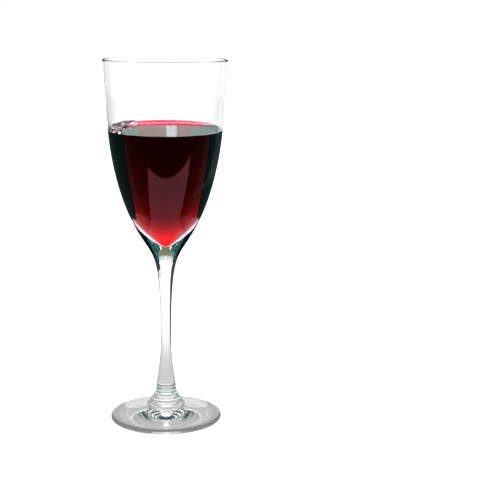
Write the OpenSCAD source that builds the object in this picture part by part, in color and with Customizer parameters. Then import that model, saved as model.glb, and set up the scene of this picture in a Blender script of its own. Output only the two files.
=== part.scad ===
// A stemmed wine glass, three quarters full of red wine.
// +Z points up, and the origin is the centre of the foot on the surface that the glass stands on.
// Both pieces are turned about the Z axis from one outline each, and they share the inner wall.

/* [Overall] */
// Height of the glass, from the surface it stands on to the rim
glass_h = 225; // [185:0.5:272]
// Outside diameter of the rim, which is the widest place of the bowl
rim_d = 76; // [63:0.5:92]
// Outside diameter of the foot
foot_d = 69.6; // [57:0.1:84]

/* [Bowl] */
// Height of the bowl's outside, from its root on the stem to the rim
bowl_h = 106.8; // [88:0.1:130]
// Outside diameter of the bowl's root, where it turns into the stem
root_d = 32.6; // [28:0.1:39]
// Lean of the outside at the root, in degrees from upright
root_lean = 31; // [25:0.5:37]
// Lean of the wall at the rim, in degrees from upright
rim_lean = 2.9; // [0:0.1:6]
// Reach of the rim's upright line down the bowl, where its curve begins
rim_reach = 31.6; // [26:0.1:38]
// Reach of the root's slanted line up the bowl, where its curve ends
belly_reach = 37; // [30:0.5:45]
// Thickness of the wall at the rim
rim_wall = 1.2; // [0.9:0.1:1.6]
// Thickness of the wall where the inside starts to taper to its floor
low_wall = 1.8; // [1.5:0.1:2.2]
// Height above the root at which the inside starts to taper to its floor
taper_rise = 36.8; // [30:0.1:45]
// Reach of the inside's slanted line up the wall, above the taper
wall_reach = 27; // [22:0.5:33]
// Reach of the inside's slanted line down into the taper
taper_reach = 16.5; // [13:0.1:20]
// Depth of the inside's lowest point below the root
floor_drop = 4.8; // [3.5:0.1:6]
// Reach of the level floor out from the inside's lowest point
floor_reach = 3; // [2.4:0.1:3.6]

/* [Stem] */
// Diameter of the stem at its thinnest place
waist_d = 6.5; // [5.4:0.1:7.8]
// Height of the thinnest place above the surface
waist_z = 50; // [41:0.5:60]
// Reach of the root's slanted line down into the stem
neck_reach = 17.8; // [14:0.1:21]
// Reach of the thinnest place's upright line up the stem
stem_reach = 56; // [46:0.5:62]
// Diameter of the stem where it stands on the rings
stem_end_d = 12.6; // [10.5:0.1:12.8]

/* [Rings] */
// Number of turned rings between the stem and the foot
ring_count = 4; // [2:1:5]
// Diameter of the top ring
ring_top_d = 12.8; // [12.4:0.1:15.3]
// Diameter of the lowest ring, the bell that stands on the foot
ring_low_d = 23.8; // [20:0.1:28]
// Height of each ring
ring_h = 3.1; // [2.6:0.1:3.7]
// Depth of each ring's rounded edge, from its widest line in to its groove
groove_depth = 1; // [0.8:0.05:1.2]

/* [Foot] */
// Thickness of the foot at its edge
edge_t = 3; // [2.5:0.1:3.6]
// Height of the foot's top where the lowest ring stands on it
foot_rise = 7.2; // [6:0.1:8.6]
// Height of the hollow under the middle of the foot
foot_hollow = 1.5; // [1.2:0.1:1.8]
// Width of the flat band that the glass stands on
rest_w = 4; // [3:0.1:5]

/* [Wine] */
// Depth of the wine's level surface below the rim
fill_drop = 42.4; // [35:0.1:52]
// Height that the wine climbs up the wall at its edge
climb_h = 2.6; // [2:0.1:3.5]
// Distance from the wall over which the climb falls to about a third
climb_w = 1.9; // [1.5:0.1:2.8]

/* [Hidden] */
$fn = 128;
wall_steps = 12;
round_steps = 14;
climb_steps = 7;
arc_steps = 8;
foot_steps = 8;
search_steps = 40;
// Number of climb widths at which the surface is level again
climb_run = 4;
// How strongly the points of the surface crowd towards the wall
climb_crowd = 1.6;
// How quickly the rings widen towards the foot, where 1 is evenly
ring_spread = 1.1;

root_z = glass_h - bowl_h;
floor_z = root_z - floor_drop;
level_z = glass_h - fill_drop;
contact_z = level_z + climb_h;
rings_z = foot_rise + ring_count * ring_h;
lip_r = rim_wall / 2;
lip_z = glass_h - lip_r;

function cubic(p, t) =
    pow(1 - t, 3) * p[0] + 3 * pow(1 - t, 2) * t * p[1] + 3 * (1 - t) * t * t * p[2] + pow(t, 3) * p[3];
function cubic_slope(p, t) =
    pow(1 - t, 2) * (p[1] - p[0]) + 2 * (1 - t) * t * (p[2] - p[1]) + t * t * (p[3] - p[2]);
function run(p, from, to, steps) = [for (i = [0:steps]) cubic(p, from + (to - from) * i / steps)];
function tail(list) = [for (i = [1:len(list) - 1]) list[i]];
function arc(centre, r, from, to) =
    [for (i = [0:arc_steps])
        let (a = from + (to - from) * i / arc_steps)
        centre + r * [cos(a), sin(a)]];

// Place on a curve that falls from its start to its end, found by halving
function place_at(p, z, lo = 0, hi = 1, left = search_steps) =
    let (mid = (lo + hi) / 2)
    left == 0 ? mid :
    cubic(p, mid)[1] > z ? place_at(p, z, mid, hi, left - 1) : place_at(p, z, lo, mid, left - 1);

// Unit direction of an outline that leans outwards as it goes up
function leaning(angle) = [sin(angle), cos(angle)];

// Outside of the bowl and the stem, as curves from the top down
root = [root_d / 2, root_z];
waist = [waist_d / 2, waist_z];
bowl_out = [
    [rim_d / 2, lip_z],
    [rim_d / 2, lip_z] - rim_reach * leaning(rim_lean),
    root + belly_reach * leaning(root_lean),
    root
];
stem_up = [
    root,
    root - neck_reach * leaning(root_lean),
    waist + [0, stem_reach],
    waist
];
stem_low = [
    waist,
    waist - [0, (waist_z - rings_z) / 3],
    [stem_end_d / 2 - (stem_end_d - waist_d) / 5, rings_z + (waist_z - rings_z) / 3],
    [stem_end_d / 2, rings_z]
];

// Inside of the bowl: the wall, then the taper to the floor, with one direction where they meet
join_t = place_at(bowl_out, root_z + taper_rise);
join_dir = -cubic_slope(bowl_out, join_t) / norm(cubic_slope(bowl_out, join_t));
join = cubic(bowl_out, join_t) + low_wall * [-join_dir[1], join_dir[0]];
wall_in = [
    [rim_d / 2 - rim_wall, lip_z],
    [rim_d / 2 - rim_wall, lip_z] - rim_reach * leaning(rim_lean),
    join + wall_reach * join_dir,
    join
];
floor_in = [
    join,
    join - taper_reach * join_dir,
    [floor_reach, floor_z],
    [0, floor_z]
];
contact_t = place_at(wall_in, contact_z);
dry_wall = run(wall_in, 0, contact_t, wall_steps);
wet_wall = concat(run(wall_in, contact_t, 1, wall_steps), tail(run(floor_in, 0, 1, round_steps)));

// The wine's surface, from its edge on the wall to the middle
edge_r = wet_wall[0][0];
function climb_at(x) =
    (exp(-x / climb_w) - exp(-climb_run)) / (1 - exp(-climb_run));
surface = [for (i = [1:climb_steps])
    let (x = climb_run * climb_w * pow(i / climb_steps, climb_crowd))
    [edge_r - x, level_z + climb_h * climb_at(x)]];

function ring_r(i) =
    ring_top_d / 2 + (ring_low_d - ring_top_d) / 2 * pow(i / (ring_count - 1), ring_spread);

// One ring's rounded edge, counted from the top one: an arc as deep as the groove and as high as the ring
bead_r = groove_depth / 2 + ring_h * ring_h / (8 * groove_depth);
bead_turn = asin(ring_h / 2 / bead_r);
function ring_edge(i) =
    arc([ring_r(i) - bead_r, rings_z - (i + 0.5) * ring_h], bead_r, bead_turn, -bead_turn);

// Top of the foot, from the groove under the lowest ring to the rounded edge
foot_r = foot_d / 2;
edge_r_out = edge_t / 2;
foot_top = [
    [ring_r(ring_count - 1) - groove_depth, foot_rise],
    [foot_r * 0.45, foot_rise * 0.72],
    [foot_r * 0.7, edge_t * 1.15],
    [foot_r - edge_r_out, edge_t]
];
rest_r = foot_r - edge_r_out;
hollow = [
    [rest_r - rest_w, 0],
    [(rest_r - rest_w) * 0.8, foot_hollow * 0.2],
    [(rest_r - rest_w) * 0.4, foot_hollow],
    [0, foot_hollow]
];

glass_outline = concat(
    [[0, floor_z]],
    [for (i = [len(wet_wall) - 2:-1:0]) wet_wall[i]],
    [for (i = [len(dry_wall) - 2:-1:0]) dry_wall[i]],
    tail(arc([rim_d / 2 - lip_r, lip_z], lip_r, 180, 0)),
    tail(run(bowl_out, 0, 1, 2 * wall_steps)),
    tail(run(stem_up, 0, 1, round_steps)),
    tail(run(stem_low, 0, 1, foot_steps)),
    [for (i = [0:ring_count - 1]) each ring_edge(i)],
    tail(run(foot_top, 0, 1, foot_steps)),
    tail(arc([rest_r, edge_r_out], edge_r_out, 90, -90)),
    run(hollow, 0, 1, foot_steps)
);

wine_outline = concat(wet_wall, [[0, level_z]], [for (i = [climb_steps:-1:1]) surface[i - 1]]);

module glass() {
    color([0.9, 0.94, 0.94, 0.35])
        rotate_extrude()
            polygon(glass_outline);
}

module wine() {
    color([0.35, 0.02, 0.05])
        rotate_extrude()
            polygon(wine_outline);
}

glass();
wine();
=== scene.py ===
import math

import bmesh
import bpy
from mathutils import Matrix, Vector


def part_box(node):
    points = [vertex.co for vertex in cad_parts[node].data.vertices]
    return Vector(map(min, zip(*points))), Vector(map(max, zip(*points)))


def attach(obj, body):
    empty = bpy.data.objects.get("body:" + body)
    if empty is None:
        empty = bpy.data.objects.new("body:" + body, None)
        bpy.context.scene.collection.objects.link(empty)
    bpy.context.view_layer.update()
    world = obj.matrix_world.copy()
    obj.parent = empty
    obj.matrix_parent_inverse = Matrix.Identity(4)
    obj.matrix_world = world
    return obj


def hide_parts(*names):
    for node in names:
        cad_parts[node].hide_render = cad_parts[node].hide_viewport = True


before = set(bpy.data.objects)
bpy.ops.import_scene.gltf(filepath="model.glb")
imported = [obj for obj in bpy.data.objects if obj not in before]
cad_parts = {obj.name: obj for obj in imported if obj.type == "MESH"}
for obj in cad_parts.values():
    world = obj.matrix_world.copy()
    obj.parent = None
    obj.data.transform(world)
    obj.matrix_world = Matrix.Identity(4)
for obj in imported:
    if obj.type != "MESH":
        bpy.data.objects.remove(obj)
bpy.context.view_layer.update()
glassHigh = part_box("glass")[1]
wineLow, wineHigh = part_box("wine")
mm = 0.001
millilitre = 1e-6
print("frame loaded:", sorted(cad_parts))


# Node building: a wire stands for one socket, and sums of wires add the nodes that do the maths.

class Wire:
    def __init__(self, tree, socket):
        self.tree = tree
        self.socket = socket

    def both(self, other, operation, swapped=False):
        pair = (other, self) if swapped else (self, other)
        isVector = any(isinstance(w, Wire) and w.socket.type == "VECTOR" for w in pair)
        kind = "ShaderNodeVectorMath" if isVector else "ShaderNodeMath"
        return self.tree.add(kind, {"operation": operation}, {0: pair[0], 1: pair[1]})

    def __add__(self, other):
        return self.both(other, "ADD")

    def __radd__(self, other):
        return self.both(other, "ADD", True)

    def __sub__(self, other):
        return self.both(other, "SUBTRACT")

    def __rsub__(self, other):
        return self.both(other, "SUBTRACT", True)

    def __mul__(self, other):
        return self.both(other, "MULTIPLY")

    def __rmul__(self, other):
        return self.both(other, "MULTIPLY", True)

    def __truediv__(self, other):
        return self.both(other, "DIVIDE")

    def __pow__(self, power):
        return self.both(power, "POWER")

    def __gt__(self, other):
        return self.both(other, "GREATER_THAN")

    # A function of one number, such as COSINE
    def of(self, operation):
        return self.tree.add("ShaderNodeMath", {"operation": operation}, {0: self})


class Tree:
    def __init__(self, nodeTree):
        self.nodeTree = nodeTree
        nodeTree.nodes.clear()
        self.column = 0

    # Adds a node: its settings first, then its sockets' values or wires. One output comes back as a wire
    def add(self, kind, settings=None, values=None, output=0):
        node = self.nodeTree.nodes.new(kind)
        node.location = (180 * (self.column % 12), -220 * (self.column // 12))
        self.column += 1
        for name, value in (settings or {}).items():
            if name == "stops":
                self.setStops(node.color_ramp, value)
            else:
                setattr(node, name, value)
        for key, value in (values or {}).items():
            if isinstance(value, Wire):
                self.nodeTree.links.new(value.socket, node.inputs[key])
            elif isinstance(value, (list, tuple)) and value and isinstance(value[0], Wire):
                for wire in reversed(value):
                    self.nodeTree.links.new(wire.socket, node.inputs[key])
            else:
                node.inputs[key].default_value = value
        if output is None:
            return node
        return Wire(self, node.outputs[output])

    def setStops(self, ramp, stops):
        while len(ramp.elements) > len(stops):
            ramp.elements.remove(ramp.elements[-1])
        while len(ramp.elements) < len(stops):
            ramp.elements.new(1.0)
        for element, (place, colour) in zip(ramp.elements, stops):
            element.position = place
            element.color = colour

    def out(self, node, output):
        return Wire(self, node.outputs[output])

    # A vector's three parts, as wires
    def parts(self, vector):
        split = self.add("ShaderNodeSeparateXYZ", values={0: vector}, output=None)
        return [self.out(split, axis) for axis in "XYZ"]


def newMaterial(name):
    material = bpy.data.materials.new(name)
    material.use_nodes = True
    return material, Tree(material.node_tree)


# Starts a node group with its named inputs, a list of (kind, names), and one geometry output
def newGroup(name, inputs, output="Geometry"):
    group = bpy.data.node_groups.new(name, "GeometryNodeTree")
    for kind, socketNames in inputs:
        for socketName in socketNames:
            group.interface.new_socket(socketName, in_out="INPUT", socket_type="NodeSocket" + kind)
    group.interface.new_socket(output, in_out="OUTPUT", socket_type="NodeSocketGeometry")
    return group, Tree(group)


# Outlines: cubic curves in radius and height, each one four points

def cubic(points, t):
    a, b, c, d = points
    s = 1 - t
    return tuple(
        s * s * s * a[i] + 3 * s * s * t * b[i] + 3 * s * t * t * c[i] + t * t * t * d[i]
        for i in (0, 1)
    )


# Both halves of a curve that is cut at t
def cutCurve(points, t):
    def mix(p, q):
        return tuple(p[i] + (q[i] - p[i]) * t for i in (0, 1))
    a, b, c, d = points
    ab, bc, cd = mix(a, b), mix(b, c), mix(c, d)
    abc, bcd = mix(ab, bc), mix(bc, cd)
    middle = mix(abc, bcd)
    return [a, ab, abc, middle], [middle, bcd, cd, d]


# Where a falling curve passes a height, found by halving
def placeAt(points, height, steps=50):
    low, high = 0.0, 1.0
    for _ in range(steps):
        middle = (low + high) / 2
        if cubic(points, middle)[1] > height:
            low = middle
        else:
            high = middle
    return (low + high) / 2


def leaning(angle):
    return math.sin(math.radians(angle)), math.cos(math.radians(angle))


def moved(point, direction, distance):
    return point[0] + direction[0] * distance, point[1] + direction[1] * distance


def unit(start, end):
    length = math.hypot(end[0] - start[0], end[1] - start[1])
    return (end[0] - start[0]) / length, (end[1] - start[1]) / length


# Four points of a straight run
def straight(start, end):
    return [start] + [tuple(start[i] + (end[i] - start[i]) * k / 3 for i in (0, 1)) for k in (1, 2)] + [end]


# Four points of a circular arc, as close as one cubic comes to it
def arcCurve(centre, radius, fromAngle, toAngle):
    turn = math.radians(toAngle - fromAngle)
    reach = radius * 4 / 3 * math.tan(turn / 4)
    a, b = math.radians(fromAngle), math.radians(toAngle)
    start = (centre[0] + radius * math.cos(a), centre[1] + radius * math.sin(a))
    end = (centre[0] + radius * math.cos(b), centre[1] + radius * math.sin(b))
    return [
        start,
        (start[0] - reach * math.sin(a), start[1] + reach * math.cos(a)),
        (end[0] + reach * math.sin(b), end[1] - reach * math.cos(b)),
        end,
    ]


# Geometry Nodes: a band turns one cubic curve about the Z axis, and a lathe joins its bands

bandCorners = ("Start", "Start Handle", "End Handle", "End")


def buildBandTree():
    inputs = [("Vector", bandCorners), ("Int", ("Steps", "Turns")), ("Float", ("Push",))]
    group, tree = newGroup("turnedBand", inputs, output="Mesh")
    given = tree.add("NodeGroupInput", output=None)
    curve = [tree.out(given, name) for name in bandCorners]
    grid = tree.add("GeometryNodeMeshGrid", values={
        "Size X": 1.0,
        "Size Y": 1.0,
        "Vertices X": tree.out(given, "Steps") + 1,
        "Vertices Y": tree.out(given, "Turns") + 1,
    })
    along, around, _ = tree.parts(tree.add("GeometryNodeInputPosition"))
    t = along + 0.5
    turn = (around + 0.5) * math.tau
    s = 1 - t
    a, b, c, d = curve
    point = a * (s * s * s) + b * (3 * s * s * t) + c * (3 * s * t * t) + d * (t * t * t)
    slope = (b - a) * (s * s) + (c - b) * (2 * s * t) + (d - c) * (t * t)
    heading = tree.add("ShaderNodeVectorMath", {"operation": "NORMALIZE"}, {0: slope})
    outward = tree.add("ShaderNodeVectorMath", {"operation": "CROSS_PRODUCT"}, {0: heading, 1: (0, 1, 0)})
    pushed = point + outward * tree.out(given, "Push")
    out, _, height = tree.parts(pushed)
    radius = out.both(0.0, "MAXIMUM")
    turned = tree.add("ShaderNodeCombineXYZ", values={
        "X": radius * turn.of("COSINE"), "Y": radius * turn.of("SINE"), "Z": height,
    })
    shaped = tree.add("GeometryNodeSetPosition", values={"Geometry": grid, "Position": turned})
    tree.add("NodeGroupOutput", values={"Mesh": shaped}, output=None)
    return group


# A lathe tree has its sizes and every band's four points as named inputs, and some bands a second material
def buildLatheTree(name, bandTree, bands, secondBands=(), lastTree=None, lastInputs=()):
    inputs = [("Geometry", ("Geometry",)), ("Int", ("Turns",)), ("Float", ("Push", "Merge Distance"))]
    for band in bands:
        inputs.append(("Vector", [f"{band} {corner}" for corner in bandCorners]))
        inputs += [("Int", (f"{band} Steps",)), ("Float", (f"{band} Push",))]
    inputs += [("Float", lastInputs), ("Material", ("Material", "Second Material"))]
    group, tree = newGroup(name, inputs)
    given = tree.add("NodeGroupInput", output=None)
    second = tree.out(given, "Second Material")
    made = []
    for band in bands:
        values = {corner: tree.out(given, f"{band} {corner}") for corner in bandCorners}
        values["Steps"] = tree.out(given, f"{band} Steps")
        values["Turns"] = tree.out(given, "Turns")
        values["Push"] = tree.out(given, f"{band} Push") * tree.out(given, "Push")
        turned = tree.add("GeometryNodeGroup", {"node_tree": bandTree}, values)
        if band in secondBands:
            turned = tree.add("GeometryNodeSetMaterial", values={"Geometry": turned, "Material": second})
        made.append(turned)
    joined = tree.add("GeometryNodeJoinGeometry", values={"Geometry": made})
    closed = tree.add("GeometryNodeMergeByDistance", values={
        "Geometry": joined, "Distance": tree.out(given, "Merge Distance"),
    })
    if lastTree:
        lastValues = {sizeName: tree.out(given, sizeName) for sizeName in lastInputs}
        lastValues["Geometry"] = closed
        closed = tree.add("GeometryNodeGroup", {"node_tree": lastTree}, lastValues)
    smooth = tree.add("GeometryNodeSetShadeSmooth", values={"Geometry": closed})
    real = tree.add("GeometryNodeRealizeInstances", values={"Geometry": smooth})
    finish = {"Geometry": real, "Material": tree.out(given, "Material")}
    if secondBands:
        chosen = tree.add("GeometryNodeMaterialSelection", values={"Material": second})
        finish["Selection"] = tree.add("FunctionNodeBooleanMath", {"operation": "NOT"}, {0: chosen})
    finished = tree.add("GeometryNodeSetMaterial", values=finish)
    tree.add("NodeGroupOutput", values={"Geometry": finished}, output=None)
    return group


# Runs a tree on an empty mesh, and keeps the result as a plain mesh object
def meshFromTree(name, group, values):
    holder = bpy.data.objects.new(name + "Holder", bpy.data.meshes.new(name + "Holder"))
    bpy.context.scene.collection.objects.link(holder)
    modifier = holder.modifiers.new("nodes", "NODES")
    modifier.node_group = group
    for item in group.interface.items_tree:
        if item.item_type == "SOCKET" and item.in_out == "INPUT" and item.name in values:
            modifier[item.identifier] = values[item.name]
    bpy.context.view_layer.update()
    evaluated = holder.evaluated_get(bpy.context.evaluated_depsgraph_get())
    mesh = bpy.data.meshes.new_from_object(evaluated)
    mesh.name = name
    holder.modifiers.remove(modifier)
    bpy.data.objects.remove(holder)
    piece = bpy.data.objects.new(name, mesh)
    bpy.context.scene.collection.objects.link(piece)
    solid = bmesh.new()
    solid.from_mesh(mesh)
    openEdges = sum(1 for edge in solid.edges if len(edge.link_faces) != 2)
    volume = solid.calc_volume(signed=True) / millilitre
    print(f"{name}: {len(mesh.polygons)} faces, {openEdges} open edges, {volume:.1f} ml")
    solid.free()
    return piece


# Turns a list of (name, four points, steps, push) into a lathe's mesh
def turnedPiece(name, bandTree, bands, turns, material, second=None, secondBands=(), push=0.0,
                lastTree=None, lastValues=None):
    lastValues = lastValues or {}
    values = {
        "Turns": turns,
        "Push": push,
        "Merge Distance": bandSteps["merge"],
        "Material": material,
        **lastValues,
    }
    if second:
        values["Second Material"] = second
    for band, points, steps, share in bands:
        for corner, point in zip(bandCorners, points):
            values[f"{band} {corner}"] = (point[0], 0.0, point[1])
        values[f"{band} Steps"] = steps
        values[f"{band} Push"] = float(share)
    names = [band[0] for band in bands]
    group = buildLatheTree(name + "Lathe", bandTree, names, secondBands, lastTree, list(lastValues))
    return meshFromTree(name, group, values)


# Materials

plainWhite = (1.0, 1.0, 1.0, 1.0)
plainBlack = (0.0, 0.0, 0.0, 1.0)

glassFinish = {
    "ior": 1.5,
    "tint": (0.992, 1.0, 0.997, 1.0),
    "roughness": (0.0, 0.012),  # cleanest and least clean places
    "waviness": 0.05,
    "waveSize": 0.03,          # metres from one swell of the blown surface to the next
    "waveDepth": 0.002,
    "smudgeScale": 90.0,
}


# Wet glass is the wall under the wine, where the boundary hardly reflects
def glassMaterial(finish, name, wet=False):
    material, tree = newMaterial(name)
    place = tree.add("ShaderNodeTexCoord", output="Object")
    swell = tree.add("ShaderNodeTexNoise", {"noise_dimensions": "3D"}, {
        "Vector": place, "Scale": 1 / finish["waveSize"], "Detail": 1.0, "Roughness": 0.4,
    })
    smudge = tree.add("ShaderNodeTexNoise", {"noise_dimensions": "3D"}, {
        "Vector": place, "Scale": finish["smudgeScale"], "Detail": 3.0, "Roughness": 0.6,
    })
    low, high = finish["roughness"]
    roughness = low + smudge * (high - low)
    normal = tree.add("ShaderNodeBump", values={
        "Strength": finish["waviness"], "Distance": finish["waveDepth"], "Height": swell,
    })
    shader = tree.add("ShaderNodeBsdfPrincipled", values={
        "Base Color": finish["tint"],
        "IOR": finish["ior"],
        "Transmission Weight": 1.0,
        "Specular Tint": plainBlack if wet else plainWhite,
        "Roughness": roughness,
        "Normal": normal,
    })
    tree.add("ShaderNodeOutputMaterial", values={"Surface": shader}, output=None)
    return material


wineFinish = {
    "ior": 1.34,
    "absorbed": (80.0, 16000.0, 5000.0),  # red, green and blue taken out, per metre of wine
    "filmScale": 60.0,
    "filmRoughness": 0.006,
}


# The wine mirrors its surroundings only at a glance, as the glass round it does the rest
def wineMaterial(finish, name):
    material, tree = newMaterial(name)
    most = max(finish["absorbed"])
    tint = tuple(1 - share / most for share in finish["absorbed"]) + (1.0,)
    place = tree.add("ShaderNodeTexCoord", output="Object")
    film = tree.add("ShaderNodeTexNoise", {"noise_dimensions": "3D"}, {
        "Vector": place, "Scale": finish["filmScale"], "Detail": 2.0, "Roughness": 0.5,
    })
    shader = tree.add("ShaderNodeBsdfPrincipled", values={
        "Base Color": plainWhite,
        "IOR": finish["ior"],
        "Transmission Weight": 1.0,
        "Specular Tint": plainBlack,
        "Roughness": film * finish["filmRoughness"],
    })
    absorb = tree.add("ShaderNodeVolumeAbsorption", values={"Color": tint, "Density": most})
    tree.add("ShaderNodeOutputMaterial", values={"Surface": shader, "Volume": absorb}, output=None)
    return material


# The wine's sides lie along the glass's, so both take the same steps
bandSteps = {
    "wall": 56,
    "floor": 48,
    "climb": 5,       # for each part of the wine's climb
    "level": 12,
    "dryWall": 36,
    "lip": 6,
    "outside": 84,
    "stemTop": 52,
    "stemLow": 24,
    "ledge": 2,
    "ring": 12,
    "footTop": 36,
    "footEdge": 9,
    "rest": 3,
    "hollow": 26,
    "merge": 2e-6,    # metres, within which the ends of two bands are joined
}


# The glass, from the middle of the bowl's floor up the inside, over the rim and down the outside to the foot

glassSizes = {
    "footRadius": 34.8 * mm,
    "bowlHeight": 106.8 * mm,    # outside, from its root on the stem to the rim
    "rootRadius": 16.3 * mm,
    "rootLean": 31.0,            # degrees from upright
    "rimLean": 2.9,
    "rimReach": 31.6 * mm,
    "bellyReach": 37.0 * mm,
    "rimWall": 1.2 * mm,
    "lowWall": 1.8 * mm,         # where the inside starts to taper
    "taperRise": 36.8 * mm,
    "wallReach": 27.0 * mm,
    "taperReach": 16.5 * mm,
    "floorReach": 3.0 * mm,
    "waistRadius": 3.25 * mm,
    "waistHeight": 50.0 * mm,
    "neckReach": 17.8 * mm,
    "stemReach": 56.0 * mm,
    "stemEndRadius": 6.3 * mm,
    "ringCount": 4,
    "ringTopRadius": 6.4 * mm,
    "ringLowRadius": 11.9 * mm,
    "ringSpread": 1.1,
    "ringHeight": 3.1 * mm,
    "grooveDepth": 1.0 * mm,
    "edgeThickness": 3.0 * mm,
    "footRise": 7.2 * mm,
    "footHollow": 1.5 * mm,
    "restWidth": 4.0 * mm,
    "footHandles": ((0.45, 0.72), (0.7, 1.15)),    # shares of the foot's radius, and of its rise or its edge
    "hollowHandles": ((0.8, 0.2), (0.4, 1.0)),     # shares of the resting ring's inside and of the hollow
    "stemFlare": 2 / 5,                            # share of the low stem's widening near its end
    "turns": 192,
}


# The shared curves of the bowl: its outside, the inside wall and the taper to the floor
def bowlCurves(sizes):
    rimRadius = glassHigh.x
    lip = sizes["rimWall"] / 2
    lipHeight = glassHigh.z - lip
    rimDown = leaning(sizes["rimLean"])
    rootUp = leaning(sizes["rootLean"])
    root = (sizes["rootRadius"], glassHigh.z - sizes["bowlHeight"])
    outerRim = (rimRadius, lipHeight)
    innerRim = (rimRadius - sizes["rimWall"], lipHeight)
    outside = [
        outerRim,
        moved(outerRim, rimDown, -sizes["rimReach"]),
        moved(root, rootUp, sizes["bellyReach"]),
        root,
    ]
    cut = placeAt(outside, root[1] + sizes["taperRise"])
    above = cutCurve(outside, cut)[0]
    up = unit(above[3], above[2])
    join = moved(above[3], (-up[1], up[0]), sizes["lowWall"])
    wall = [
        innerRim,
        moved(innerRim, rimDown, -sizes["rimReach"]),
        moved(join, up, sizes["wallReach"]),
        join,
    ]
    taper = [
        join,
        moved(join, up, -sizes["taperReach"]),
        (sizes["floorReach"], wineLow.z),
        (0.0, wineLow.z),
    ]
    return {"outside": outside, "wall": wall, "taper": taper, "root": root, "rootUp": rootUp, "lip": lip}


def glassBands(sizes, curves):
    root, rootUp, lip = curves["root"], curves["rootUp"], curves["lip"]
    ringsHeight = sizes["footRise"] + sizes["ringCount"] * sizes["ringHeight"]
    waist = (sizes["waistRadius"], sizes["waistHeight"])
    stemEnd = (sizes["stemEndRadius"], ringsHeight)
    third = (waist[1] - ringsHeight) / 3
    stemTop = [
        root,
        moved(root, rootUp, -sizes["neckReach"]),
        moved(waist, (0, 1), sizes["stemReach"]),
        waist,
    ]
    stemLow = [
        waist,
        (waist[0], waist[1] - third),
        (stemEnd[0] - (stemEnd[0] - waist[0]) * sizes["stemFlare"], ringsHeight + third),
        stemEnd,
    ]
    dryWall, wetWall = cutCurve(curves["wall"], placeAt(curves["wall"], wineHigh.z))
    lipMiddle = (glassHigh.x - lip, glassHigh.z - lip)
    bands = [
        ("Floor", curves["taper"][::-1], bandSteps["floor"], 0),
        ("Wet Wall", wetWall[::-1], bandSteps["wall"], 0),
        ("Dry Wall", dryWall[::-1], bandSteps["dryWall"], 0),
        ("Lip Inside", arcCurve(lipMiddle, lip, 180, 90), bandSteps["lip"], 0),
        ("Lip Outside", arcCurve(lipMiddle, lip, 90, 0), bandSteps["lip"], 0),
        ("Outside", curves["outside"], bandSteps["outside"], 0),
        ("Stem Top", stemTop, bandSteps["stemTop"], 0),
        ("Stem Low", stemLow, bandSteps["stemLow"], 0),
    ]
    beadRadius = sizes["grooveDepth"] / 2 + sizes["ringHeight"] ** 2 / (8 * sizes["grooveDepth"])
    beadTurn = math.degrees(math.asin(sizes["ringHeight"] / 2 / beadRadius))
    last = stemEnd
    for ring in range(sizes["ringCount"]):
        share = (ring / (sizes["ringCount"] - 1)) ** sizes["ringSpread"]
        ringRadius = sizes["ringTopRadius"] + (sizes["ringLowRadius"] - sizes["ringTopRadius"]) * share
        centre = (ringRadius - beadRadius, ringsHeight - (ring + 0.5) * sizes["ringHeight"])
        bead = arcCurve(centre, beadRadius, beadTurn, -beadTurn)
        bands.append((f"Ledge {ring + 1}", straight(last, bead[0]), bandSteps["ledge"], 0))
        bands.append((f"Ring {ring + 1}", bead, bandSteps["ring"], 0))
        last = bead[3]
    edge = sizes["edgeThickness"] / 2
    footRadius = sizes["footRadius"]
    restOuter = footRadius - edge
    restInner = restOuter - sizes["restWidth"]
    (nearOut, nearUp), (farOut, farUp) = sizes["footHandles"]
    footTop = [
        last,
        (footRadius * nearOut, sizes["footRise"] * nearUp),
        (footRadius * farOut, sizes["edgeThickness"] * farUp),
        (restOuter, sizes["edgeThickness"]),
    ]
    (outerShare, outerDeep), (innerShare, innerDeep) = sizes["hollowHandles"]
    hollow = [
        (restInner, 0.0),
        (restInner * outerShare, sizes["footHollow"] * outerDeep),
        (restInner * innerShare, sizes["footHollow"] * innerDeep),
        (0.0, sizes["footHollow"]),
    ]
    bands += [
        ("Foot Top", footTop, bandSteps["footTop"], 0),
        ("Edge Top", arcCurve((restOuter, edge), edge, 90, 0), bandSteps["footEdge"], 0),
        ("Edge Low", arcCurve((restOuter, edge), edge, 0, -90), bandSteps["footEdge"], 0),
        ("Rest", straight((restOuter, 0.0), (restInner, 0.0)), bandSteps["rest"], 0),
        ("Hollow", hollow, bandSteps["hollow"], 0),
    ]
    return bands


# The wine: its surface climbs the wall at the edge, and its sides reach a little way into the glass

wineSizes = {
    "level": 182.7 * mm,
    "wallAngle": 60.0,     # how steeply the climbing surface meets the wall, in degrees
    "levelAngle": 1.2,     # slope at which the surface counts as level
    "anglesBetween": [48, 38, 29, 21, 14, 9, 5, 2.5],
    "frontClimb": 0.0,     # share of the climb that is left at the front
    "climbSpread": 1.5,    # above 1, the climb keeps more to the back
    "lean": 1.0,           # degrees that the surface leans to the front
    "leanDepth": 8.0 * mm,    # under the surface, over which the lean fades out
    "intoWall": 0.005 * mm,
    "turns": 192,
}


# The climbing surface of a still liquid, at the place where it slopes by an angle
def climbPoint(width, angle, wallAngle):
    def reach(degrees):
        half = math.radians(degrees / 2)
        return math.acosh(1 / math.sin(half)) - 2 * math.cos(half)
    height = 2 * width * math.sin(math.radians(angle / 2))
    return width * (reach(angle) - reach(wallAngle)), height


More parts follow.
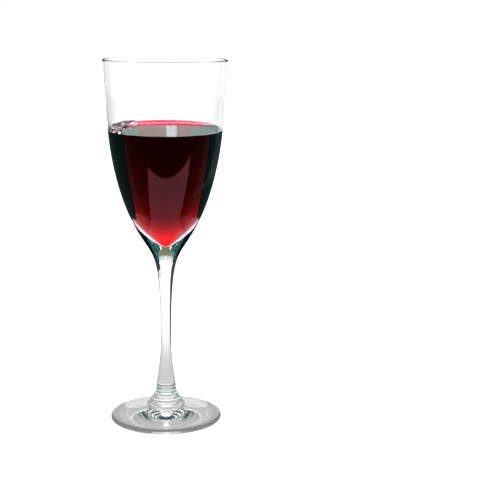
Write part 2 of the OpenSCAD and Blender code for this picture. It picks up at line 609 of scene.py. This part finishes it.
def wineBands(sizes, curves):
    contact = wineHigh.z
    cut = placeAt(curves["wall"], contact)
    wetWall = cutCurve(curves["wall"], cut)[1]
    edge = wetWall[0]
    wallAngle, levelAngle = sizes["wallAngle"], sizes["levelAngle"]
    leanRise = edge[0] * math.tan(math.radians(sizes["lean"]))
    climb = contact - leanRise - sizes["level"]
    span = math.sin(math.radians(wallAngle / 2)) - math.sin(math.radians(levelAngle / 2))
    width = climb / (2 * span)
    base = sizes["level"] - 2 * width * math.sin(math.radians(levelAngle / 2)) + leanRise
    bands = []
    stops = [wallAngle, *sizes["anglesBetween"], levelAngle]
    for near, far in zip(stops, stops[1:]):
        ends = []
        for angle in (far, near):
            across, up = climbPoint(width, angle, wallAngle)
            ends.append((edge[0] - across, base + up))
        third = math.dist(*ends) / 3
        handles = []
        for end, angle, way in zip(ends, (far, near), (1, -1)):
            sine, cosine = leaning(angle)
            handles.append(moved(end, (cosine, sine), third * way))
        bands.append((f"Climb {stops.index(far)}", [ends[0], *handles, ends[1]], bandSteps["climb"], 0))
    bands.reverse()
    inner = bands[0][1][0]
    bands.insert(0, ("Level", straight((0.0, inner[1]), inner), bandSteps["level"], 0))
    down = unit(wetWall[0], wetWall[1])
    pushedEdge = moved(edge, (-down[1], down[0]), sizes["intoWall"])
    bands.append(("Edge", straight(edge, pushedEdge), 1, 0))
    bands.append(("Side", wetWall, bandSteps["wall"], 1))
    bands.append(("Floor", curves["taper"], bandSteps["floor"], 1))
    return bands


# Lowers the climb towards the front and leans the surface a little, sliding points along the wall
def buildUnevenTree():
    names = ("Level", "Front Climb", "Climb Spread", "Lean", "Lean Depth", "Wall Slope", "Drop")
    group, tree = newGroup("unevenClimb", [("Geometry", ("Geometry",)), ("Float", names)])
    given = tree.add("NodeGroupInput", output=None)
    x, y, z = tree.parts(tree.add("GeometryNodeInputPosition"))
    axisGap = 1e-6
    radius = ((x * x + y * y) ** 0.5).both(axisGap, "MAXIMUM")
    above = (z - tree.out(given, "Level")).both(0.0, "MAXIMUM")
    back = ((y / radius + 1.0) * 0.5) ** tree.out(given, "Climb Spread")
    front = tree.out(given, "Front Climb")
    share = front + (1 - front) * back
    depth = (z - tree.out(given, "Level")) / tree.out(given, "Lean Depth") + 1.0
    depth = tree.add("ShaderNodeClamp", values={"Value": depth, "Min": 0.0, "Max": 1.0})
    rise = above * (share - 1.0) + (y * tree.out(given, "Lean") - tree.out(given, "Drop")) * depth
    outward = rise * tree.out(given, "Wall Slope") / radius
    shift = tree.add("ShaderNodeCombineXYZ", values={0: x * outward, 1: y * outward, 2: rise})
    laid = tree.add("GeometryNodeSetPosition", values={
        "Geometry": tree.out(given, "Geometry"), "Offset": shift,
    })
    tree.add("NodeGroupOutput", values={"Geometry": laid}, output=None)
    return group


def unevenValues(sizes, curves):
    wall = cutCurve(curves["wall"], placeAt(curves["wall"], wineHigh.z))[1]
    down = unit(wall[0], wall[1])
    lean = math.tan(math.radians(sizes["lean"]))
    drop = wall[0][0] * lean
    return {
        "Level": sizes["level"] + drop,
        "Front Climb": sizes["frontClimb"],
        "Climb Spread": sizes["climbSpread"],
        "Lean": lean,
        "Lean Depth": sizes["leanDepth"],
        "Wall Slope": down[0] / down[1],
        "Drop": drop,
    }


bandTree = buildBandTree()
curves = bowlCurves(glassSizes)
dryGlass = glassMaterial(glassFinish, "clearGlass")
wetGlass = glassMaterial(glassFinish, "wetGlass", wet=True)
wineRed = wineMaterial(wineFinish, "redWine")
glass = turnedPiece(
    "wineGlass", bandTree, glassBands(glassSizes, curves), glassSizes["turns"], dryGlass,
    second=wetGlass, secondBands=("Floor", "Wet Wall"),
)
wine = turnedPiece(
    "redWine", bandTree, wineBands(wineSizes, curves), wineSizes["turns"], wineRed,
    push=wineSizes["intoWall"], lastTree=buildUnevenTree(), lastValues=unevenValues(wineSizes, curves),
)
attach(glass, "root")
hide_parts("glass")
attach(wine, "root")
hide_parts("wine")
print("glass and wine in place")


# Foam: rows of small bubbles along the wall, on the wine's surface at its left

foamSizes = {
    "rows": 5,
    "wallRows": 2,             # rows that stand above each other on the wall
    "perRow": 19,
    "wallGap": 1.1 * mm,       # from the wall to the first row's middle
    "rowStep": 1.75 * mm,
    "firstAngle": 128.0,       # degrees round from the right, the back being 90
    "lastAngle": 208.0,
    "widestAt": 0.5,           # where along the wall the foam is widest
    "bubble": 1.05 * mm,
    "uneven": 0.35,            # share by which the smallest bubbles are smaller
    "unevenLarge": 0.6,        # share of that by which the largest are larger
    "sunk": 0.25,              # share of a bubble's radius that lies under the surface
    "jitter": 0.12 * mm,
    "rowJitter": 0.5,          # rows by which the foam's inner edge wanders
    "fullness": 0.96,          # at 1, the foam's middle reaches its last row
    "roundness": 3,            # subdivisions of a bubble
    "dropFrom": 5 * mm,        # above the wine's edge, from where the bubbles drop to the surface
    "dropReach": 50 * mm,
    "seed": 7,
}


def buildFoamTree():
    group, tree = newGroup("foam", [
        ("Geometry", ("Geometry",)),
        ("Int", ("Rows", "Wall Rows", "Per Row", "Roundness", "Seed")),
        ("Float", ("First Radius", "Row Step", "First Angle", "Last Angle", "Widest At", "Bubble", "Uneven")),
        ("Float", ("Uneven Large", "Sunk", "Jitter", "Row Jitter", "Fullness", "Start Height", "Drop Reach")),
        ("Object", ("Wine",)),
        ("Material", ("Material",)),
    ])
    given = tree.add("NodeGroupInput", output=None)
    names = ("Rows", "Wall Rows", "Per Row", "Row Step", "Bubble", "Jitter", "Row Jitter")
    rows, wallRows, perRow, rowStep, bubble, jitter, rowJitter = (tree.out(given, name) for name in names)

    def chance(low, high, offset):
        return tree.add("FunctionNodeRandomValue", {"data_type": "FLOAT"}, {
            "Min": low, "Max": high, "Seed": tree.out(given, "Seed") + offset,
        }, output=1)

    grid = tree.add("GeometryNodeMeshGrid", values={
        "Size X": 1.0, "Size Y": 1.0, "Vertices X": perRow, "Vertices Y": rows,
    })
    across, up, _ = tree.parts(tree.add("GeometryNodeInputPosition"))
    row = ((up + 0.5) * (rows - 1)).of("ROUND")
    inward = (row - wallRows).both(0.0, "MAXIMUM")
    upward = (wallRows - row).both(0.0, "MAXIMUM")
    along = across + 0.5 + row.both(2.0, "MODULO") * 0.5 / perRow
    first, last = tree.out(given, "First Angle"), tree.out(given, "Last Angle")
    angle = first + (last - first) * along
    radius = tree.out(given, "First Radius") - inward * rowStep + jitter * chance(-1.0, 1.0, 1)
    turned = tree.add("ShaderNodeCombineXYZ", values={
        "X": radius * angle.of("COSINE") + jitter * chance(-1.0, 1.0, 2),
        "Y": radius * angle.of("SINE") + jitter * chance(-1.0, 1.0, 3),
        "Z": tree.out(given, "Start Height"),
    })
    shaped = tree.add("GeometryNodeSetPosition", values={"Geometry": grid, "Position": turned})
    edge = (along - tree.out(given, "Widest At")).of("ABSOLUTE")
    share = (inward + upward + rowJitter * chance(-1.0, 1.0, 4)) / (rows - wallRows)
    kept = tree.out(given, "Fullness") > (share + edge * 2.0)
    seen = tree.add("GeometryNodeObjectInfo", {"transform_space": "ORIGINAL"}, {
        "Object": tree.out(given, "Wine"),
    }, output="Geometry")
    hit = tree.add("GeometryNodeRaycast", values={
        "Target Geometry": seen,
        "Ray Direction": (0.0, 0.0, -1.0),
        "Ray Length": tree.out(given, "Drop Reach"),
    }, output=None)
    size = bubble * (1.0 + tree.out(given, "Uneven") * chance(-1.0, tree.out(given, "Uneven Large"), 5))
    raised = tree.add("ShaderNodeCombineXYZ", values={
        "Z": size * (1.0 - tree.out(given, "Sunk")) + upward * rowStep,
    })
    laid = tree.add("GeometryNodeSetPosition", values={
        "Geometry": shaped, "Position": tree.out(hit, "Hit Position") + raised,
    })
    points = tree.add("GeometryNodeMeshToPoints", values={"Mesh": laid, "Selection": kept})
    ball = tree.add("GeometryNodeMeshIcoSphere", values={
        "Radius": 1.0, "Subdivisions": tree.out(given, "Roundness"),
    })
    bubbles = tree.add("GeometryNodeInstanceOnPoints", values={
        "Points": points, "Instance": ball, "Scale": size,
    })
    smooth = tree.add("GeometryNodeSetShadeSmooth", values={"Geometry": bubbles})
    real = tree.add("GeometryNodeRealizeInstances", values={"Geometry": smooth})
    film = tree.out(given, "Material")
    finished = tree.add("GeometryNodeSetMaterial", values={"Geometry": real, "Material": film})
    tree.add("NodeGroupOutput", values={"Geometry": finished}, output=None)
    return group


bubbleFinish = {
    "tint": (0.97, 0.86, 0.88, 1.0),
    "ior": 1.5,
    "filmScale": 900.0,
    "filmRoughness": 0.02,
}


def bubbleMaterial(finish, name):
    material, tree = newMaterial(name)
    place = tree.add("ShaderNodeTexCoord", output="Object")
    film = tree.add("ShaderNodeTexNoise", {"noise_dimensions": "3D"}, {
        "Vector": place, "Scale": finish["filmScale"], "Detail": 1.0, "Roughness": 0.5,
    })
    shader = tree.add("ShaderNodeBsdfPrincipled", values={
        "Base Color": finish["tint"],
        "IOR": finish["ior"],
        "Transmission Weight": 1.0,
        "Roughness": film * finish["filmRoughness"],
    })
    tree.add("ShaderNodeOutputMaterial", values={"Surface": shader}, output=None)
    return material


def makeFoam(sizes, wine, curves):
    contact = cubic(curves["wall"], placeAt(curves["wall"], wineHigh.z))
    return meshFromTree("foamBubbles", buildFoamTree(), {
        "Rows": sizes["rows"],
        "Wall Rows": sizes["wallRows"],
        "Per Row": sizes["perRow"],
        "Roundness": sizes["roundness"],
        "Seed": sizes["seed"],
        "First Radius": contact[0] - sizes["wallGap"],
        "Row Step": sizes["rowStep"],
        "First Angle": math.radians(sizes["firstAngle"]),
        "Last Angle": math.radians(sizes["lastAngle"]),
        "Widest At": sizes["widestAt"],
        "Bubble": sizes["bubble"],
        "Uneven": sizes["uneven"],
        "Uneven Large": sizes["unevenLarge"],
        "Sunk": sizes["sunk"],
        "Jitter": sizes["jitter"],
        "Row Jitter": sizes["rowJitter"],
        "Fullness": sizes["fullness"],
        "Start Height": wineHigh.z + sizes["dropFrom"],
        "Drop Reach": sizes["dropReach"],
        "Wine": wine,
        "Material": bubbleMaterial(bubbleFinish, "clearBubble"),
    })


foam = makeFoam(foamSizes, wine, curves)
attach(foam, "root")
print("foam in place")


# The studio: a pale table under white light, with cards that only the glass shows

studio = {
    "skyBehind": 1.0,
    "skyDiffuse": 1.1,
    "mirrored": (0.012, 0.014, 0.014, 1.0),   # the room as the glass mirrors it
    # the room as it shows through the glass, from straight down to straight up
    "seenThrough": [
        (0.0, (0.04, 0.045, 0.045, 1.0)), (0.6, (0.045, 0.06, 0.06, 1.0)),
        (0.72, (0.02, 0.085, 0.09, 1.0)), (1.0, (0.01, 0.03, 0.035, 1.0)),
    ],
    "tableHalf": 6.0,
    "tableColour": (0.86, 0.855, 0.85, 1.0),
    "tableRoughness": (0.75, 0.85),
    "grainScale": 40.0,
    "tableGlow": 0.9,
    "lift": -0.0004,                      # the cards on the table lie this far from it
    "backdropDistance": 1.2,
    "backdropLeft": 0.62,
    "backdropRight": 0.53,
    # the backdrop's brightness at heights in metres, and the height where its bright part ends
    "lowLight": [(-0.05, 1.3), (0.17, 1.3), (0.22, 2.2), (0.26, 3.0), (0.3, 3.0)],
    "middleLight": [(0.3, 0.85), (0.5, 0.8), (0.55, 0.5)],
    "oliveLight": [(0.55, 0.5), (0.62, 0.25), (1.0, 0.22), (1.05, 0.6)],
    "olive": (0.93, 1.0, 0.62, 1.0),
    "highLight": [(1.05, 2.5), (1.4, 3.0), (2.2, 3.0)],
    "highHalf": 0.3,
    # the white card close behind the bowl, above the sight lines through it
    "nearCard": {"left": -0.09, "right": 0.075, "y": 0.1, "low": 0.224, "high": 0.34, "light": 7.0},
    "panelHalf": 0.058,                   # half width of the warm grey part that the wine's surface shows
    "panelWarm": (1.0, 0.86, 0.80, 1.0),
    "panelCool": (0.80, 1.0, 0.96, 1.0),
    "stripPlace": (0.0025, 0.0240),       # left and right edges of the bright strip
    "stripNearer": 0.005,                 # from the backdrop to the strip
    "stripColour": (0.90, 0.95, 1.0, 1.0),
    "stripLight": 1.75,
    # how bright the table looks through the glass, at distances in front of and behind its middle; the dimmer
    # part near the middle is painted shade round the foot
    "tableLightAndShade": [(-0.1, 0.6), (0.06, 0.64), (0.16, 1.0), (0.3, 1.25), (1.2, 1.3)],
    "tableSides": (0.6, 1.6),             # lit width at the left and right of the far edge
    "tableNear": 0.06,                    # half of the lit width in front of the glass's middle
    # corners of the glowing card on the table that the bowl's front mirrors, in millimetres; its colours are
    # painted reflections
    "sheet": [(-217, -272), (353, -268), (93, -80), (120, 60), (-113, 63), (-99, -75)],
    "sheetBeside": (0.25, 1.15, 1.15, 1.0),   # its colour beside the glass, as the bowl's root mirrors it
    "besideFrom": (-0.04, -0.018),            # where that colour starts and is full, along Y
    "besideRadius": 0.05,                     # nearer to the middle than this, it keeps the colour in front
    # its colour in front, at distances from the middle: a painted reflection, dark grey near the middle and
    # pink further out
    "sheetRings": [
        (0.0, (0.22, 0.22, 0.22)), (0.044, (0.26, 0.26, 0.25)), (0.05, (0.48, 0.42, 0.44)),
        (0.055, (0.5, 0.4, 0.45)), (0.075, (1.1, 0.32, 0.46)), (0.45, (1.9, 0.45, 0.6)),
    ],
    "sheen": (0.02, 0.085, 0.08, 1.0),    # of the table to the left and right, in the bowl's sides
    "sheenStart": (0.13, -0.06),          # its nearest place, to the side and along Y
    # what the stem's left edge shows
    "lowRight": {"end": 1.6, "top": 0.125, "colour": (0.95, 0.85, 0.74, 1.0), "light": 0.9},
    "farTable": 1.3,                      # metres out, from where the table mirrors as white
}


def emissionMaterial(name, colour, strength):
    material, tree = newMaterial(name)
    light = tree.add("ShaderNodeEmission", values={"Color": colour, "Strength": strength})
    tree.add("ShaderNodeOutputMaterial", values={"Surface": light}, output=None)
    return material


# A glow whose strength follows a list of (place, strength) along one axis
def gradedGlow(name, axis, stops, colour=plainWhite):
    material, tree = newMaterial(name)
    place = tree.add("ShaderNodeTexCoord", output="Object")
    along = tree.parts(place)["XYZ".index(axis)]
    low, high = stops[0][0], stops[-1][0]
    most = max(strength for _, strength in stops)
    ramp = []
    for at, strength in stops:
        shown = tuple(strength / most * part for part in colour[:3])
        ramp.append(((at - low) / (high - low), (*shown, 1.0)))
    shade = tree.add("ShaderNodeValToRGB", {"stops": ramp}, {"Fac": (along - low) / (high - low)})
    light = tree.add("ShaderNodeEmission", values={"Color": shade, "Strength": most})
    tree.add("ShaderNodeOutputMaterial", values={"Surface": light}, output=None)
    return material


# A glow whose colour follows a list of (distance from the middle, colour), and changes to another along Y
def ringGlow(name, rings, beside, besideFrom, besideRadius):
    material, tree = newMaterial(name)
    place = tree.add("ShaderNodeTexCoord", output="Object")
    away = tree.add("ShaderNodeVectorMath", {"operation": "LENGTH"}, {0: place}, output="Value")
    far = rings[-1][0]
    stops = [(at / far, (*colour, 1.0)) for at, colour in rings]
    shade = tree.add("ShaderNodeValToRGB", {"stops": stops}, {"Fac": away / far})
    along = tree.parts(place)[1]
    start, full = besideFrom
    share = tree.add("ShaderNodeClamp", values={"Value": (along - start) / (full - start)})
    share = share * (away > besideRadius)
    # Of the Mix node's sockets, 6 and 7 are its two colours
    colour = tree.add("ShaderNodeMix", {"data_type": "RGBA"}, {0: share, 6: shade, 7: beside}, output=2)
    light = tree.add("ShaderNodeEmission", values={"Color": colour, "Strength": 1.0})
    tree.add("ShaderNodeOutputMaterial", values={"Surface": light}, output=None)
    return material


def card(name, points, material, seenBy=()):
    mesh = bpy.data.meshes.new(name)
    mesh.from_pydata(points, [], [tuple(range(len(points)))])
    mesh.materials.append(material)
    obj = bpy.data.objects.new(name, mesh)
    bpy.context.scene.collection.objects.link(obj)
    for ray in ("camera", "diffuse", "glossy", "transmission", "shadow", "volume_scatter"):
        setattr(obj, "visible_" + ray, ray in seenBy)
    return obj


def makeTable(sizes):
    material, tree = newMaterial("paleTable")
    place = tree.add("ShaderNodeTexCoord", output="Object")
    grain = tree.add("ShaderNodeTexNoise", values={
        "Vector": place, "Scale": sizes["grainScale"], "Detail": 3.0,
    })
    smooth, rough = sizes["tableRoughness"]
    shader = tree.add("ShaderNodeBsdfPrincipled", values={
        "Base Color": sizes["tableColour"], "Roughness": smooth + grain * (rough - smooth),
    })
    glow = tree.add("ShaderNodeEmission", values={"Color": plainWhite, "Strength": sizes["tableGlow"]})
    lifted = tree.add("ShaderNodeAddShader", values={0: shader, 1: glow})
    tree.add("ShaderNodeOutputMaterial", values={"Surface": lifted}, output=None)
    half = sizes["tableHalf"]
    corners = [(-half, -half, 0), (half, -half, 0), (half, half, 0), (-half, half, 0)]
    return card("table", corners, material, ("camera", "diffuse", "shadow"))


def makeWorld(sizes):
    world = bpy.data.worlds.new("studioSky")
    world.use_nodes = True
    bpy.context.scene.world = world
    tree = Tree(world.node_tree)
    path = tree.add("ShaderNodeLightPath", output=None)
    way = tree.add("ShaderNodeTexCoord", output="Generated")
    up = tree.parts(way)[2]
    room = tree.add("ShaderNodeValToRGB", {"stops": sizes["seenThrough"]}, {"Fac": up * 0.5 + 0.5})
    through = tree.add("ShaderNodeBackground", values={"Color": room, "Strength": 1.0})
    mixed = tree.add("ShaderNodeBackground", values={"Color": sizes["mirrored"], "Strength": 1.0})
    white = tree.add("ShaderNodeBackground", values={"Color": plainWhite, "Strength": sizes["skyBehind"]})
    fill = tree.add("ShaderNodeBackground", values={"Color": plainWhite, "Strength": sizes["skyDiffuse"]})
    shownBy = (("Is Transmission Ray", through), ("Is Diffuse Ray", fill), ("Is Camera Ray", white))
    for ray, shown in shownBy:
        mixed = tree.add("ShaderNodeMixShader", values={0: tree.out(path, ray), 1: mixed, 2: shown})
    tree.add("ShaderNodeOutputWorld", values={"Surface": mixed}, output=None)


makeTable(studio)
makeWorld(studio)


# The camera, straight in front of the glass and turned to one side of it

cameraSizes = {
    "distance": 0.7475,
    "height": 0.2616,
    "downTilt": 11.14,
    "turn": 3.525,
    "roll": 0.504,
    "lens": 92.27,
    "sensor": 36.0,
}


def makeCamera(sizes):
    data = bpy.data.cameras.new("camera")
    data.lens = sizes["lens"]
    data.sensor_width = sizes["sensor"]
    camera = bpy.data.objects.new("camera", data)
    bpy.context.scene.collection.objects.link(camera)
    camera.location = (0.0, -sizes["distance"], sizes["height"])
    turn, tilt = math.radians(sizes["turn"]), math.radians(sizes["downTilt"])
    aim = Vector((math.sin(turn), math.cos(turn), 0.0)) * math.cos(tilt) - Vector((0, 0, math.sin(tilt)))
    look = aim.to_track_quat("-Z", "Y").to_matrix()
    camera.rotation_euler = look.to_euler()
    camera.rotation_euler.rotate_axis("Z", math.radians(sizes["roll"]))
    bpy.context.scene.camera = camera
    return camera


camera = makeCamera(cameraSizes)


# Cards that stand round the glass and face the camera's side of it, wherever the camera is
def makeRig(sizes):
    rig = bpy.data.objects.new("studioRig", None)
    bpy.context.scene.collection.objects.link(rig)
    follow = rig.constraints.new("LOCKED_TRACK")
    follow.target = camera
    follow.track_axis = "TRACK_NEGATIVE_Y"
    follow.lock_axis = "LOCK_Z"
    reach = sizes["backdropDistance"]
    left, right = -sizes["backdropLeft"], sizes["backdropRight"]
    half = sizes["panelHalf"]
    low, edge = sizes["lowLight"][0][0], sizes["lowLight"][-1][0]
    middle, olive = sizes["middleLight"][-1][0], sizes["oliveLight"][-1][0]
    high = sizes["highLight"][-1][0]
    near, lowRight = sizes["nearCard"], sizes["lowRight"]
    lift, tableNear = sizes["lift"], sizes["tableNear"]
    glassOnly = ("transmission",)

    def upright(name, fromX, toX, fromZ, toZ, material, y=reach, seenBy=glassOnly):
        corners = [(fromX, y, fromZ), (toX, y, fromZ), (toX, y, toZ), (fromX, y, toZ)]
        return card(name, corners, material, seenBy)

    def flat(name, fromX, toX, fromY, toY, material):
        corners = [(fromX, fromY, lift), (toX, fromY, lift), (toX, toY, lift), (fromX, toY, lift)]
        return card(name, corners, material, ("glossy",))

    cool = gradedGlow("coolGlow", "Z", sizes["middleLight"], sizes["panelCool"])
    warm = gradedGlow("warmGlow", "Z", sizes["middleLight"], sizes["panelWarm"])
    white = gradedGlow("whiteGlow", "Z", sizes["lowLight"])
    above = gradedGlow("highGlow", "Z", sizes["highLight"])
    strip = emissionMaterial("stripGlow", sizes["stripColour"], sizes["stripLight"])
    # The table as the glass shows it, with painted shade: dimmer near the middle, round the foot
    under = gradedGlow("tableGlow", "Y", sizes["tableLightAndShade"])
    oliveGlow = gradedGlow("oliveGlow", "Z", sizes["oliveLight"], sizes["olive"])
    brown = emissionMaterial("brownGlow", lowRight["colour"], lowRight["light"])
    sheen = emissionMaterial("sheenGlow", sizes["sheen"], 1.0)
    whiteFar = emissionMaterial("farGlow", plainWhite, 1.0)
    close = emissionMaterial("closeGlow", plainWhite, near["light"])
    # Painted reflections: the colours that the bowl's front and root mirror from the card on the table
    sheet = ringGlow(
        "sheetGlow", sizes["sheetRings"], sizes["sheetBeside"], sizes["besideFrom"], sizes["besideRadius"],
    )
    front = sizes["tableLightAndShade"][0][0]
    farLeft, farRight = sizes["tableSides"]
    stripTop = sizes["middleLight"][1][0]
    stripY = reach - sizes["stripNearer"]
    cards = [
        upright("backdrop", left, right, low, edge, white),
        upright("backdropMirrored", left, right, low, edge, whiteFar, seenBy=("glossy",)),
        upright("backdropLeft", left, -half, edge, middle, cool),
        upright("backdropMiddle", -half, half, edge, middle, warm),
        upright("backdropRight", half, right, edge, middle, cool),
        upright("backdropOlive", left, right, middle, olive, oliveGlow),
        upright("backdropHigh", -sizes["highHalf"], sizes["highHalf"], olive, high, above),
        upright("lowRight", right, lowRight["end"], low, lowRight["top"], brown),
        upright("windowStrip", *sizes["stripPlace"], edge, stripTop, strip, stripY),
        upright("closeCard", near["left"], near["right"], near["low"], near["high"], close, near["y"]),
        # Seen only through the glass; its dimmer middle is painted shade round the foot
        card("tableThroughGlass", [
            (-tableNear, front, lift), (tableNear, front, lift), (tableNear, 0.0, lift),
            (farRight, reach, lift), (-farLeft, reach, lift), (-tableNear, 0.0, lift),
        ], under, glassOnly),
        # Seen only in reflections; its colours are painted reflections in the bowl
        card("whiteSheet", [(x * mm, y * mm, 0.0) for x, y in sizes["sheet"]], sheet, ("glossy",)),
    ]
    out, end = sizes["farTable"], sizes["tableHalf"]
    beside, behind = sizes["sheenStart"]
    for side, (start, stop) in (("Left", (-out, -beside)), ("Right", (beside, out))):
        cards.append(flat("sheen" + side, start, stop, behind, out, sheen))
    cards += [
        flat("farTableLeft", -end, -out, -end, end, whiteFar),
        flat("farTableRight", out, end, -end, end, whiteFar),
        flat("farTableFront", -out, out, -end, -out, whiteFar),
        flat("farTableBack", -out, out, out, end, whiteFar),
    ]
    for item in cards:
        item.parent = rig


makeRig(studio)

scene = bpy.context.scene
scene.view_settings.view_transform = "Standard"
scene.cycles.max_bounces = 24
scene.cycles.transmission_bounces = 24
scene.cycles.glossy_bounces = 12
scene.cycles.min_light_bounces = 10
scene.cycles.min_transparent_bounces = 10
print("studio and camera ready")
